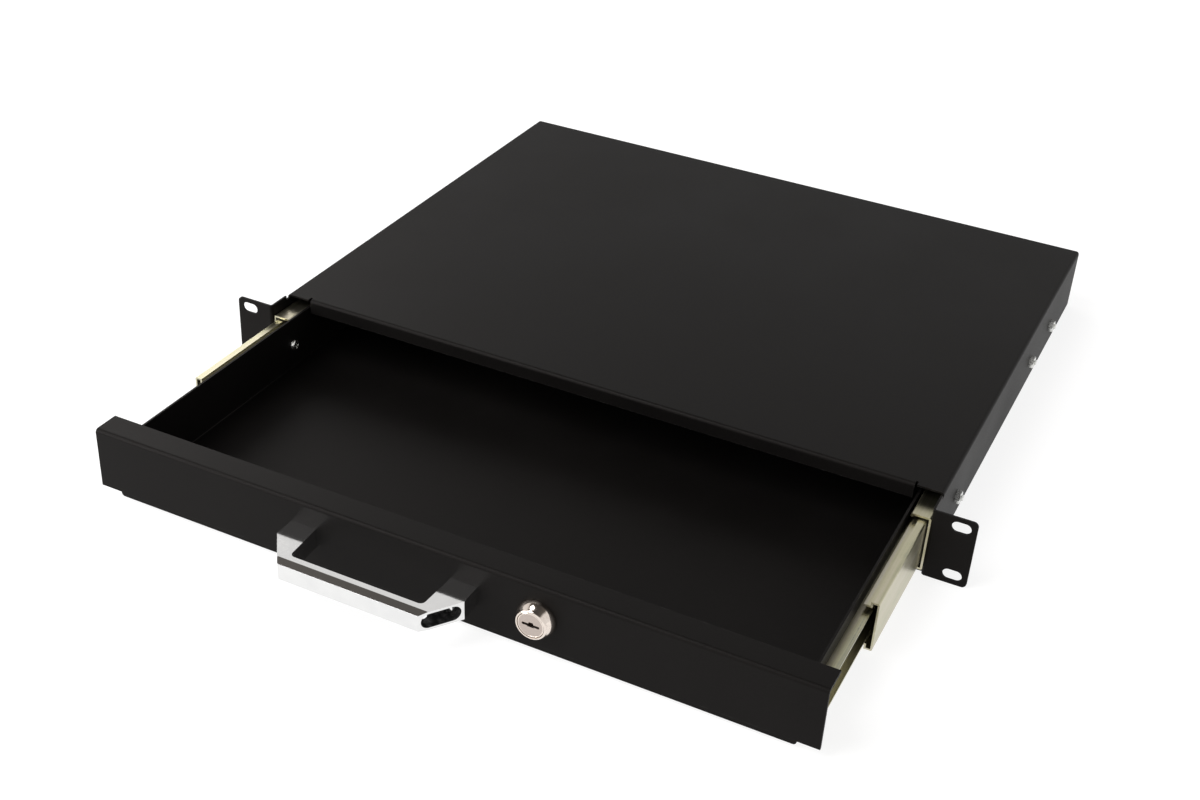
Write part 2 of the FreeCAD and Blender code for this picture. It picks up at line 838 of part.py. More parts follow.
def pull_handle():
    """Cast bridge pull: two legs, a bevelled bar and slanted ends with ports into the hollow."""
    body = new_body("pull_handle")
    half = size("pullSpan") / 2
    front_half = size("pullFront") / 2
    leg = half - size("pullLeg")
    reach = size("pullReach")
    inner = reach - size("pullBar")
    shoulder = size("pullShoulder")
    tall = size("pullTall") / 2

    plan = new_sketch(body, "XY")
    outline = [
        (half, 0), (half, -shoulder), (front_half, -reach), (-front_half, -reach),
        (-half, -shoulder), (-half, 0), (-leg, 0), (-leg + size("pullTaper"), -inner),
        (leg - size("pullTaper"), -inner), (leg, 0),
    ]
    polygon(plan, outline)
    pad(body, plan, tall * 2, both=True)
    inner_corners = [((leg - size("pullTaper")) * x, -inner, None) for x in (-1, 1)]
    soften(body, "Fillet", size("pullCorner"), "Z", inner_corners)
    soften(body, "Fillet", size("pullEdge"), "Z", [(half * x, -shoulder, None) for x in (-1, 1)])

    bevels = new_sketch(body, "YZ")
    for up in (-1, 1):
        polygon(bevels, [
            (-reach, (tall - size("bevelDrop")) * up),
            (-reach + size("bevelDepth"), tall * up),
            (-reach + size("bevelDepth"), (tall + size("bevelDrop")) * up),
            (-reach - size("bevelDepth"), (tall + size("bevelDrop")) * up),
            (-reach - size("bevelDepth"), (tall - size("bevelDrop")) * up),
        ])
    pocket(body, bevels, both=True)

    slope = math.degrees(math.atan2((reach - shoulder).number, (half - front_half).number))
    slope_text = f"atan2({(reach - shoulder).text}; {(half - front_half).text})"
    for side in (-1, 1):
        port = new_sketch(body, "XZ")
        middle_x = (half + front_half) / 2 * side
        middle_y = (reach + shoulder) / 2
        turn = FreeCAD.Rotation(FreeCAD.Vector(0, side, 0), slope)
        base = FreeCAD.Vector(middle_x.number, 0, middle_y.number)
        port.AttachmentOffset = FreeCAD.Placement(base, turn)
        port.setExpression(".AttachmentOffset.Base.x", middle_x.text)
        port.setExpression(".AttachmentOffset.Base.z", middle_y.text)
        port.setExpression(".AttachmentOffset.Rotation.Angle", slope_text)
        slot(port, (0, 0), size("portLength"), size("portHeight"))
        pocket(body, port, size("portDepth"))

    holes = new_sketch(body, "XZ")
    for x in (-1, 1):
        screw_cut(holes, (pull_screw * x, 0), screw_hole)
    pocket(body, holes, size("pullThread") + size("pullThreadClear"), toward=-1)

    place(body, size("pullShift"), front_face, size("gripRise"))
    node(body)

    screws = []
    for name, x in SIDES.items():
        grip = size("frontSheet") + size("traySheet")
        fixing = pan_screw(f"handle_screw_{name}", grip + size("pullThread"))
        place(fixing, size("pullShift") + pull_screw * x,
              tray_face + size("traySheet"), size("gripRise"), REAR)
        screws.append(fixing)
    node(group("handle_screws", screws))


# ---------------------------------------------------------------- lock


def at_lock(thing):
    """Lock pieces are drawn about their own axis, with +Z toward the front."""
    place(thing, size("lockShift"), front_face, size("gripRise"), FRONT)
    return node(thing)


def lock():
    """Cam lock: conical housing held by a nut, a turning plug, and a cam screwed to its end."""
    barrel = size("lockBarrel") / 2
    rise = size("bezelRise")
    plug = size("plugFace") / 2
    clear = size("plugClear")
    end = -size("lockLength")

    housing = new_body("lock_housing")
    profile = new_sketch(housing, "XZ")
    polygon(profile, [
        (plug + clear, end), (barrel, end), (barrel, 0), (size("bezelBase") / 2, 0),
        (size("bezelFace") / 2, rise), (plug + clear, rise),
    ])
    revolve(housing, profile)
    at_lock(housing)

    grip = size("frontSheet") + size("traySheet")
    nut = hex_nut("lock_nut", size("nutAcross"), size("nutThick"), barrel + clear, circle)
    place(nut, size("lockShift"), front_face + grip, size("gripRise"), REAR)
    node(nut)

    core = new_body("lock_plug")
    stub_end = end - size("camGap") - size("camSheet") + clear
    turned = new_sketch(core, "XZ")
    back = end - size("camGap")
    face = rise - size("plugSink")
    polygon(turned, [(0, back), (plug, back), (plug, face), (0, face)])
    revolve(core, turned)
    square = size("camSquare") / 2
    stub = new_sketch(core, "XY", stub_end)
    rectangle(stub, -square, -square, square, square)
    pad(core, stub, size("camSheet") - clear)
    keyway = new_sketch(core, "XY", face)
    slot(keyway, (0, 0), size("keyLength"), size("keyWidth"))
    pocket(core, keyway, size("keyDepth"), toward=-1)
    eye = new_sketch(core, "XY", face)
    circle(eye, (0, 0), size("keyEye") / 2)
    pocket(core, eye, size("keyDepth"), toward=-1)
    thread = new_sketch(core, "XY", stub_end)
    circle(thread, (0, 0), size("camScrew") / 2 + size("screwClear"))
    pocket(core, thread, size("camScrewLength") + size("screwClear"), toward=1)
    at_lock(core)

    cam_face = end - size("camGap") - size("camSheet")
    cam = new_body("lock_cam")
    half = size("camWidth") / 2
    outline = new_sketch(cam, "XY", cam_face)
    polygon(outline, [(-size("camReach"), -half), (half, -half), (half, half), (-size("camReach"), half)])
    hole = square + size("screwClear")
    rectangle(outline, -hole, -hole, hole, hole)
    pad(cam, outline, size("camSheet"))
    soften(cam, "Fillet", size("camRound"), "Z", [(half, half, None), (half, -half, None)])
    soften(cam, "Fillet", size("camSheet"), "Z", [
        (-size("camReach"), half, None), (-size("camReach"), -half, None)
    ])
    at_lock(cam)

    head = size("camScrewHead") / 2
    fixing = screw(
        "cam_screw", head, head - size("panTaper"), size("camScrewThick"),
        size("camScrew") / 2, size("camScrewLength"), 1,
    )
    place(fixing, size("lockShift"), front_face - cam_face, size("gripRise"), REAR)
    node(fixing)


# ---------------------------------------------------------------- build and write

casing_shell()
casing_fixings()
for rail_name, rail_side in SIDES.items():
    outer_rail(rail_name, rail_side)
    ball_sets(rail_name, rail_side)
    middle_rail(rail_name, rail_side)
    inner_rail(rail_name, rail_side)
drawer_tray()
front_panel()
tray_fixings()
pull_handle()
lock()
doc.recompute()

for item in doc.Objects:
    if "Invalid" in item.State or "Error" in item.State:
        raise RuntimeError(f"{item.Name} failed: {item.State}")
for item in nodes:
    if item.Shape.isNull() or not item.Shape.isValid():
        raise RuntimeError(f"{item.Label} has no valid shape")

os.makedirs("parts", exist_ok=True)
for item in nodes:
    item.Shape.exportStep(f"parts/{item.Label}.step")
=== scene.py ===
import json
import math

import bmesh
import bpy
from mathutils import Matrix, Vector


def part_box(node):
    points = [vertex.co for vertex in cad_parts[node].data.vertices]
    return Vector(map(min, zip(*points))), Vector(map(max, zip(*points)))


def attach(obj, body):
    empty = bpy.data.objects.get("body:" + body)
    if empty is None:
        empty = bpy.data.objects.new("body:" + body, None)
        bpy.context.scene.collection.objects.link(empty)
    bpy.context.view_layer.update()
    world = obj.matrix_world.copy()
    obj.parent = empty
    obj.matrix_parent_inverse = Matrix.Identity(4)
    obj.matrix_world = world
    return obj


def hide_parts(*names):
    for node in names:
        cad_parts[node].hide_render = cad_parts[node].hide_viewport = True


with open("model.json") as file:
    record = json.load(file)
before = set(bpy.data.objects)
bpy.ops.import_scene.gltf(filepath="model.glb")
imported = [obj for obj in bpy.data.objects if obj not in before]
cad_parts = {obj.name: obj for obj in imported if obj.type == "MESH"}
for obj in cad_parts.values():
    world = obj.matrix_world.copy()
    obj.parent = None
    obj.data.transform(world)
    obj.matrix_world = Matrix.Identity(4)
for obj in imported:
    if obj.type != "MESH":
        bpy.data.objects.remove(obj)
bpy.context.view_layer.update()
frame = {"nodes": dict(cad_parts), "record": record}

# The looks of a one-unit rack drawer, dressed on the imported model.  Metres; X to the right,
# Y to the rear, Z up.  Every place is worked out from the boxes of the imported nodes.

MM = 0.001
NODES = frame["nodes"]
RECORD = frame["record"]

handle_low, handle_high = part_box("pull_handle")
housing_low, housing_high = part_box("lock_housing")
plug_low, plug_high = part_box("lock_plug")

SLOTS = {entry["node"]: entry["material_slot"] for entry in RECORD["subparts"]}
BODIES = {
    member: body
    for body, members in RECORD["behaviour"]["bodies"].items()
    for member in members
}
FRONT_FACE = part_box("front_panel")[0].y
GRIP_Z = (handle_low.z + handle_high.z) / 2
HANDLE_X = (handle_low.x + handle_high.x) / 2
LOCK_X = (housing_low.x + housing_high.x) / 2
LOCK_Z = (housing_low.z + housing_high.z) / 2
FLOOR_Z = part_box("casing_shell")[0].z


# ---------------------------------------------------------------- materials


class Nodes:
    """A new material's node tree, with short calls for what the finishes need."""

    def __init__(self, name):
        self.material = bpy.data.materials.new(name)
        self.material.use_nodes = True
        self.tree = self.material.node_tree
        self.shader = self.tree.nodes["Principled BSDF"]
        self.coordinates = self.tree.nodes.new("ShaderNodeTexCoord").outputs["Object"]

    def link(self, source, target):
        self.tree.links.new(source, target)

    def stretched(self, scale):
        mapping = self.tree.nodes.new("ShaderNodeMapping")
        mapping.inputs["Scale"].default_value = scale
        self.link(self.coordinates, mapping.inputs["Vector"])
        return mapping.outputs["Vector"]

    def noise(self, scale, detail=2.0, rough=0.5, vector=None, distortion=0.0):
        node = self.tree.nodes.new("ShaderNodeTexNoise")
        node.inputs["Scale"].default_value = scale
        node.inputs["Detail"].default_value = detail
        node.inputs["Roughness"].default_value = rough
        node.inputs["Distortion"].default_value = distortion
        self.link(vector or self.coordinates, node.inputs["Vector"])
        return node.outputs["Fac"]

    def spread(self, value, low, high, out_low, out_high):
        """The value carried from one range to another, held at the ends."""
        node = self.tree.nodes.new("ShaderNodeMapRange")
        for name, number in (
            ("From Min", low), ("From Max", high), ("To Min", out_low), ("To Max", out_high),
        ):
            node.inputs[name].default_value = number
        self.link(value, node.inputs["Value"])
        return node.outputs["Result"]

    def ramp(self, value, stops):
        node = self.tree.nodes.new("ShaderNodeValToRGB")
        elements = node.color_ramp.elements
        while len(elements) < len(stops):
            elements.new(0.5)
        for element, (place, colour) in zip(elements, stops):
            element.position = place
            element.color = (*colour, 1)
        self.link(value, node.inputs["Fac"])
        return node.outputs["Color"]

    def math(self, kind, first, second):
        node = self.tree.nodes.new("ShaderNodeMath")
        node.operation = kind
        for socket, value in zip(node.inputs, (first, second)):
            if isinstance(value, (int, float)):
                socket.default_value = value
            else:
                self.link(value, socket)
        return node.outputs["Value"]

    def mix(self, factor, first, second):
        node = self.tree.nodes.new("ShaderNodeMix")
        node.data_type = "RGBA"
        sockets = [s for s in node.inputs if s.enabled]
        for socket, value in zip(sockets, (factor, first, second)):
            if isinstance(value, tuple):
                socket.default_value = (*value, 1)
            else:
                self.link(value, socket)
        return [s for s in node.outputs if s.enabled][0]

    def bump(self, height, strength, distance, under=None):
        node = self.tree.nodes.new("ShaderNodeBump")
        node.inputs["Strength"].default_value = strength
        node.inputs["Distance"].default_value = distance
        self.link(height, node.inputs["Height"])
        if under is not None:
            self.link(under, node.inputs["Normal"])
        return node.outputs["Normal"]

    def edges(self, radius):
        """One within the radius of a sharp edge or a tight fold, nought on flats."""
        soft = self.tree.nodes.new("ShaderNodeBevel")
        soft.samples = 4
        soft.inputs["Radius"].default_value = radius
        flat = self.tree.nodes.new("ShaderNodeNewGeometry").outputs["True Normal"]
        dot = self.tree.nodes.new("ShaderNodeVectorMath")
        dot.operation = "DOT_PRODUCT"
        self.link(soft.outputs["Normal"], dot.inputs[0])
        self.link(flat, dot.inputs[1])
        return self.spread(dot.outputs["Value"], 0.70, 0.97, 1.0, 0.0)

    def set(self, **values):
        for name, value in values.items():
            socket = self.shader.inputs[name.replace("_", " ")]
            if isinstance(value, (int, float)):
                socket.default_value = value
            elif isinstance(value, tuple):
                socket.default_value = (*value, 1)
            else:
                self.link(value, socket)


def powder_coat():
    """Fine-textured black powder coat: small soft grains, cloudy tone, worn edges."""
    n = Nodes("black_powder_coat")
    cloud = n.noise(9.0, 3.0, 0.55)
    grain = n.noise(1500.0, 2.0, 0.6)
    peel = n.noise(420.0, 2.0, 0.5)
    speckle = n.math("ADD", n.math("MULTIPLY", cloud, 0.55), n.math("MULTIPLY", grain, 0.45))
    tone = n.ramp(speckle, [
        (0.36, (0.0026, 0.0023, 0.0022)),
        (0.50, (0.0037, 0.0033, 0.0031)),
        (0.66, (0.0053, 0.0048, 0.0045)),
    ])
    worn = n.edges(0.0007)
    scuffs = n.spread(n.noise(160.0, 4.0, 0.7), 0.45, 0.75, 0.05, 0.6)
    dullness = n.math("ADD", n.math("MULTIPLY", cloud, 0.5), n.math("MULTIPLY", grain, 0.5))
    n.set(
        Base_Color=n.mix(n.math("MULTIPLY", worn, scuffs), tone, (0.075, 0.073, 0.070)),
        Roughness=n.spread(dullness, 0.3, 0.7, 0.42, 0.56),
        IOR=1.20,
        Specular_IOR_Level=0.42,
        Specular_Tint=(1.0, 0.93, 0.90),
        Normal=n.bump(grain, 0.30, 0.00010, under=n.bump(peel, 0.12, 0.00020)),
    )
    return n.material


def zinc_slide():
    """Bright zinc plate on rolled strip: streaks along the slide, faint yellow-green cast."""
    n = Nodes("zinc_slide")
    streak = n.noise(1.0, 4.0, 0.6, n.stretched((900.0, 14.0, 900.0)))
    band = n.noise(1.0, 2.0, 0.5, n.stretched((260.0, 2.0, 260.0)))
    cloud = n.noise(38.0, 4.0, 0.6, distortion=0.6)
    lines = n.math("ADD", n.math("MULTIPLY", streak, 0.35), n.math("MULTIPLY", band, 0.40))
    blend = n.math("ADD", lines, n.math("MULTIPLY", cloud, 0.25))
    tone = n.ramp(blend, [
        (0.34, (0.28, 0.29, 0.25)),
        (0.46, (0.50, 0.48, 0.33)),
        (0.56, (0.57, 0.53, 0.41)),
        (0.68, (0.66, 0.66, 0.58)),
    ])
    n.set(
        Base_Color=tone,
        Metallic=1.0,
        Roughness=n.spread(blend, 0.3, 0.7, 0.24, 0.42),
        Anisotropic=0.35,
        Normal=n.bump(streak, 0.12, 0.0001),
    )
    return n.material


def bright_metal(name, colour, dark, rough_low, rough_high, grain=700.0, dent=0.06):
    """Plated or polished metal with faint marks."""
    n = Nodes(name)
    marks = n.noise(grain, 4.0, 0.65)
    cloud = n.noise(grain / 9, 2.0, 0.5)
    tone = n.mix(n.spread(cloud, 0.35, 0.75, 0.0, 1.0), colour, dark)
    n.set(
        Base_Color=tone,
        Metallic=1.0,
        Roughness=n.spread(marks, 0.35, 0.75, rough_low, rough_high),
        Normal=n.bump(marks, dent, 0.00004),
    )
    return n.material


def nickel():
    """Warm nickel plate: polished on the bezel, a duller turned satin on the plug's face."""
    n = Nodes("nickel")
    mapping = n.tree.nodes.new("ShaderNodeMapping")
    mapping.inputs["Location"].default_value = (-LOCK_X, 0.0, -LOCK_Z)
    mapping.inputs["Scale"].default_value = (1.0, 0.0, 1.0)
    n.link(n.coordinates, mapping.inputs["Vector"])
    length = n.tree.nodes.new("ShaderNodeVectorMath")
    length.operation = "LENGTH"
    n.link(mapping.outputs["Vector"], length.inputs[0])
    radius = length.outputs["Value"]
    satin_edge = 6.6 * MM
    satin = n.spread(radius, satin_edge, satin_edge + 0.3 * MM, 1.0, 0.0)
    rings = n.tree.nodes.new("ShaderNodeTexNoise")
    rings.noise_dimensions = "1D"
    rings.inputs["Scale"].default_value = 5200.0
    rings.inputs["Detail"].default_value = 2.0
    n.link(radius, rings.inputs["W"])
    marks = n.noise(900.0, 3.0, 0.6)
    plate = n.mix(
        n.spread(marks, 0.35, 0.75, 0.0, 1.0), (0.81, 0.725, 0.655), (0.73, 0.64, 0.57),
    )
    turned = n.mix(
        n.spread(rings.outputs["Fac"], 0.35, 0.65, 0.0, 1.0),
        (0.52, 0.45, 0.405), (0.45, 0.385, 0.345),
    )
    polish = n.spread(marks, 0.3, 0.7, 0.07, 0.13)
    n.set(
        Base_Color=n.mix(satin, plate, turned),
        Metallic=1.0,
        Roughness=n.math("ADD", polish, n.math("MULTIPLY", satin, 0.20)),
        Normal=n.bump(n.math("MULTIPLY", rings.outputs["Fac"], satin), 0.2, 0.00004),
    )
    return n.material


def painted_port_shade():
    """Painted shade for the hollow inside each handle port: a dark base colour with a rough
    grain.
    """
    n = Nodes("painted_port_shade")
    grain = n.noise(380.0, 4.0, 0.65)
    n.set(
        Base_Color=n.ramp(grain, [
            (0.35, (0.030, 0.030, 0.032)),
            (0.55, (0.070, 0.070, 0.072)),
            (0.72, (0.200, 0.200, 0.200)),
        ]),
        Metallic=0.8,
        Roughness=n.spread(grain, 0.3, 0.7, 0.32, 0.55),
        Normal=n.bump(grain, 0.5, 0.0003),
    )
    return n.material


FINISHES = {
    "black_powder_coat": powder_coat(),
    "zinc_slide": zinc_slide(),
    "zinc_fixing": bright_metal(
        "zinc_fixing", (0.80, 0.80, 0.77), (0.66, 0.67, 0.66), 0.16, 0.32,
    ),
    "bearing_steel": bright_metal(
        "bearing_steel", (0.74, 0.75, 0.77), (0.66, 0.67, 0.70), 0.06, 0.14,
    ),
    "cage_steel": bright_metal(
        "cage_steel", (0.52, 0.52, 0.50), (0.38, 0.38, 0.37), 0.30, 0.50,
    ),
    "chrome": bright_metal(
        "chrome", (0.77, 0.77, 0.765), (0.73, 0.73, 0.73), 0.05, 0.12, 900.0, 0.04,
    ),
    "nickel": nickel(),
}
# Painted shade: a dark colour for the inside of the handle's ports.
PAINTED_PORT_SHADE = painted_port_shade()


def finish(piece, slot):
    piece.data.materials.clear()
    piece.data.materials.append(FINISHES[slot])


for node_name, node_object in NODES.items():
    finish(node_object, SLOTS[node_name])


# ---------------------------------------------------------------- mesh helpers


def new_piece(name, mesh_data, node):
    """A finished object that stands for a CAD node and rides where that node rides."""
    piece = bpy.data.objects.new(name, mesh_data)
    bpy.context.scene.collection.objects.link(piece)
    finish(piece, SLOTS[node])
    flatten = piece.modifiers.new("flats", "WEIGHTED_NORMAL")
    flatten.keep_sharp = True
    flatten.weight = 80
    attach(piece, BODIES[node])
    return piece


def mesh_from(bm, name, smooth_angle=35.0, creased=None):
    """The bmesh as mesh data, smooth except at edges sharper than the angle or creased."""
    bmesh.ops.recalc_face_normals(bm, faces=bm.faces)
    for face in bm.faces:
        face.smooth = True
    for edge in bm.edges:
        if len(edge.link_faces) != 2:
            continue
        if edge.calc_face_angle(0) > math.radians(smooth_angle) or (creased and creased(edge)):
            edge.smooth = False
    data = bpy.data.meshes.new(name)
    bm.to_mesh(data)
    bm.free()
    return data


def lathe(profile, steps=72):
    """A solid of revolution about Z from (radius, height) points, bottom to top.

    A profile that starts and ends off the axis is closed on itself, as for a ring.
    """
    bm = bmesh.new()
    rings = []
    for radius, height in profile:
        if radius < 1e-9:
            rings.append([bm.verts.new((0, 0, height))])
            continue
        rings.append([
            bm.verts.new((
                radius * math.cos(2 * math.pi * i / steps),
                radius * math.sin(2 * math.pi * i / steps),
                height,
            ))
            for i in range(steps)
        ])
    followers = rings[1:]
    if len(rings[0]) > 1 and len(rings[-1]) > 1:
        followers = rings[1:] + rings[:1]
    for low, high in zip(rings, followers):
        for i in range(steps):
            j = (i + 1) % steps
            if len(low) == 1:
                bm.faces.new((low[0], high[j], high[i]))
            elif len(high) == 1:
                bm.faces.new((low[i], low[j], high[0]))
            else:
                bm.faces.new((low[i], low[j], high[j], high[i]))
    return bm


def prism(outline, low, high):
    """A closed prism from an outline in the XY plane."""
    bm = bmesh.new()
    under = [bm.verts.new((x, y, low)) for x, y in outline]
    over = [bm.verts.new((x, y, high)) for x, y in outline]
    count = len(outline)
    bm.faces.new(list(reversed(under)))
    bm.faces.new(over)
    for i in range(count):
        j = (i + 1) % count
        bm.faces.new((under[i], under[j], over[j], over[i]))
    return bm


def stadium(length, width, steps=12):
    """A slot outline with round ends, long in X."""
    radius = width / 2
    reach = length / 2 - radius
    points = []
    for side in (1, -1):
        for i in range(steps + 1):
            angle = math.radians(-90 + 180 * i / steps) + (0 if side > 0 else math.pi)
            points.append((reach * side + radius * math.cos(angle), radius * math.sin(angle)))
    return points


def as_data(bm):
    """Plain mesh data from a bmesh, for a boolean or a bevel."""
    bmesh.ops.recalc_face_normals(bm, faces=bm.faces)
    data = bpy.data.meshes.new("work")
    bm.to_mesh(data)
    bm.free()
    return data


def evaluated(data, prepare):
    """The mesh data after the modifiers that prepare() puts on it."""
    holder = bpy.data.objects.new("work", data)
    bpy.context.scene.collection.objects.link(holder)
    prepare(holder)
    bpy.context.view_layer.update()
    graph = bpy.context.evaluated_depsgraph_get()
    result = bpy.data.meshes.new_from_object(holder.evaluated_get(graph))
    bpy.data.objects.remove(holder)
    return result


def combine(target, other, operation="DIFFERENCE"):
    """A boolean of two bmeshes, as a new bmesh."""
    tool = bpy.data.objects.new("tool", as_data(other))
    bpy.context.scene.collection.objects.link(tool)

    def prepare(holder):
        modifier = holder.modifiers.new("cut", "BOOLEAN")
        modifier.operation = operation
        modifier.solver = "EXACT"
        modifier.object = tool

    data = evaluated(as_data(target), prepare)
    bpy.data.objects.remove(tool)
    bm = bmesh.new()
    bm.from_mesh(data)
    return bm


def rounded(bm, width, segments=3, angle=28.0):
    """The bmesh with its sharp edges rounded."""

    def prepare(holder):
        modifier = holder.modifiers.new("bevel", "BEVEL")
        modifier.width = width
        modifier.segments = segments
        modifier.limit_method = "ANGLE"
        modifier.angle_limit = math.radians(angle)
        modifier.use_clamp_overlap = True

    bmesh.ops.remove_doubles(bm, verts=bm.verts, dist=2e-6)
    bmesh.ops.dissolve_limit(bm, angle_limit=math.radians(0.5), verts=bm.verts, edges=bm.edges)
    data = evaluated(as_data(bm), prepare)
    result = bmesh.new()
    result.from_mesh(data)
    return result


def moved(bm, matrix):
    bm.transform(matrix)
    return bm


def merged(parts):
    """Several bmeshes as one."""
    whole = bmesh.new()
    for part in parts:
        scratch = bpy.data.meshes.new("scratch")
        part.to_mesh(scratch)
        part.free()
        whole.from_mesh(scratch)
        bpy.data.meshes.remove(scratch)
    return whole


def islands(node):
    """The boxes of a node's separate solids, as (lowest, highest) corners, in order."""
    bm = bmesh.new()
    bm.from_mesh(NODES[node].data)
    bmesh.ops.remove_doubles(bm, verts=bm.verts, dist=1e-6)
    left = set(bm.verts)
    boxes = []
    while left:
        seed = left.pop()
        group = [seed]
        stack = [seed]
        while stack:
            for edge in stack.pop().link_edges:
                for vert in edge.verts:
                    if vert in left:
                        left.remove(vert)
                        stack.append(vert)
                        group.append(vert)
        low = Vector([min(v.co[i] for v in group) for i in range(3)])
        high = Vector([max(v.co[i] for v in group) for i in range(3)])
        boxes.append((low, high))
    bm.free()
    return sorted(boxes, key=lambda box: tuple(round(c, 6) for c in box[0]))


# ---------------------------------------------------------------- turns that lay an axis down

TO_FRONT = Matrix.Rotation(math.radians(90), 4, "X")
TO_REAR = Matrix.Rotation(math.radians(-90), 4, "X")
TO_RIGHT = Matrix.Rotation(math.radians(90), 4, "Y")
TO_LEFT = Matrix.Rotation(math.radians(-90), 4, "Y")
# Lays a prism's outline in the YZ plane, its length along X.
ALONG_X = Matrix(((0, 0, 1, 0), (1, 0, 0, 0), (0, 1, 0, 0), (0, 0, 0, 1)))


def at(x, y, z, turn):
    return Matrix.Translation((x, y, z)) @ turn


# ---------------------------------------------------------------- bridge pull


def corner_arc(before, corner, after, radius, steps=6):
    """Points of a fillet of that radius at the corner of a polyline."""
    corner = Vector(corner)
    back = (Vector(before) - corner).normalized()
    ahead = (Vector(after) - corner).normalized()
    half = back.angle(ahead) / 2
    reach = radius / math.tan(half)
    centre = corner + (back + ahead).normalized() * (radius / math.sin(half))
    start = corner + back * reach - centre
    end = corner + ahead * reach - centre
    turn = start.angle_signed(end)
    points = []
    for i in range(steps + 1):
        angle = -turn * i / steps
        points.append((
            centre.x + start.x * math.cos(angle) - start.y * math.sin(angle),
            centre.y + start.x * math.sin(angle) + start.y * math.cos(angle),
        ))
    return points


def filleted(outline, radii):
    points = []
    count = len(outline)
    for i, (corner, radius) in enumerate(zip(outline, radii)):
        if radius:
            points += corner_arc(outline[i - 1], corner, outline[(i + 1) % count], radius)
        else:
            points.append(corner)
    return points


def pull_handle():
    """Chromed casting: two legs, a bar bevelled along its front, a port in each slanted end."""
    half = (handle_high.x - handle_low.x) / 2
    reach = handle_high.y - handle_low.y
    tall = (handle_high.z - handle_low.z) / 2
    front_half = 42.0 * MM
    shoulder = 13.0 * MM
    leg = half - 15.6 * MM
    taper = 1.2 * MM
    bar = 8.0 * MM
    inner = reach - bar
    bevel_depth = 4.6 * MM
    bevel_drop = 0.9 * MM
    outline = [
        (half, 0), (half, -shoulder), (front_half, -reach), (-front_half, -reach),
        (-half, -shoulder), (-half, 0), (-leg, 0), (-leg + taper, -inner),
        (leg - taper, -inner), (leg, 0),
    ]
    radii = [0, 2.0 * MM, 1.2 * MM, 1.2 * MM, 2.0 * MM, 0, 0, 3.0 * MM, 3.0 * MM, 0]
    body = prism(filleted(outline, radii), -tall, tall)

    wedges = []
    for up in (-1, 1):
        section = [
            (-reach - bevel_depth, (tall - bevel_drop * 2) * up),
            (-reach, (tall - bevel_drop) * up),
            (-reach + bevel_depth, tall * up),
            (-reach + bevel_depth, (tall + bevel_drop) * up),
            (-reach - bevel_depth, (tall + bevel_drop) * up),
        ]
        wedges.append(moved(prism(section, -half * 1.2, half * 1.2), ALONG_X))
    body = combine(body, merged(wedges))

    edge_round = 0.55 * MM
    crease_end = 44.4 * MM
    port_length = 22.0 * MM
    port_height = 8.7 * MM
    port_depth = 8.5 * MM
    port_middle = 12.6 * MM
    port_lip = 1.0 * MM
    boss_axis = half - 8.6 * MM
    boss_radius = 3.4 * MM
    boss_root = 9.0 * MM
    boss_end = 15.8 * MM
    slope = math.atan2(reach - shoulder, half - front_half)
    ports = []
    bosses = []
    for side in (-1, 1):
        port = prism(stadium(port_length, port_height), -port_depth, port_depth)
        turn = Matrix.Rotation(slope * side, 4, "Z") @ TO_FRONT
        middle = ((half + front_half) / 2 * side, -(reach + shoulder) / 2, 0)
        ports.append(moved(port, Matrix.Translation(middle) @ turn))
        boss = lathe([
            (0, boss_root), (boss_radius, boss_root),
            (boss_radius - 0.2 * MM, boss_end - 0.6 * MM),
            (boss_radius - 0.8 * MM, boss_end), (0, boss_end),
        ], 40)
        bosses.append(moved(boss, at(boss_axis * side, 0, 0, TO_FRONT)))
    body = combine(body, merged(ports))
    body = rounded(body, edge_round, 4, 16.0)

    def at_bevel(edge):
        """The shallow edge where the bar's flat top or underside meets its bevel."""
        flat, steep = sorted((abs(face.normal.z) for face in edge.link_faces), reverse=True)
        sideways = max(abs(face.normal.x) for face in edge.link_faces)
        return flat > 0.9995 and 0.95 < steep < 0.995 and sideways < 0.02

    whole = combine(body, merged(bosses), "UNION")
    for side in (-1, 1):
        # A cut near each end of the long edges, so that their middle keeps a crisp crease.
        bmesh.ops.bisect_plane(
            whole, geom=whole.verts[:] + whole.edges[:] + whole.faces[:],
            plane_co=(crease_end * side, 0, 0), plane_no=(1, 0, 0),
        )
    data = mesh_from(whole, "bridge_pull", 50.0, at_bevel)
    origin = Vector((HANDLE_X, FRONT_FACE, GRIP_Z))
    data.transform(Matrix.Translation(origin))
    piece = new_piece("bridge_pull", data, "pull_handle")
    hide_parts("pull_handle")

    # The ports' inner faces, but not the bosses in them, get the painted shade of the port
    # hollows.
    data.materials.append(PAINTED_PORT_SHADE)
    slack = 0.1 * MM
    run = Vector((front_half - half, -(reach - shoulder), 0)).normalized()
    for face in data.polygons:
        spot = face.center - origin
        side = 1 if spot.x > 0 else -1
        along = Vector((run.x * side, run.y, 0))
        inward = Vector((along.y * side, -along.x * side, 0))
        from_mouth = spot - Vector((half * side, -shoulder, 0))
        depth = from_mouth.dot(inward)
        in_boss = math.hypot(spot.x * side - boss_axis, spot.z) < boss_radius + 0.2 * MM
        in_port = (
            port_lip < depth < port_depth + slack
            and abs(spot.z) < port_height / 2 + slack
            and abs(from_mouth.dot(along) - port_middle) < port_length / 2 + slack
        )
        if in_port and not in_boss:
            face.material_index = 1


# ---------------------------------------------------------------- cam lock


CREST_IN = 0.02 * MM  # how far a thread's crests stay inside the CAD's plain cylinder
ROOT_IN = 0.3 * MM  # the same for the roots of the screws' threads


def thread(radius, root, start, end, pitch):
    """Profile points of thread crests and roots between two heights."""
    turns = max(1, int((end - start) / pitch))
    step = (end - start) / turns
    points = []
    for i in range(turns):
        points.append((root, start + step * (i + 0.05)))
        points.append((radius, start + step * (i + 0.5)))
        points.append((root, start + step * (i + 0.95)))
    return points


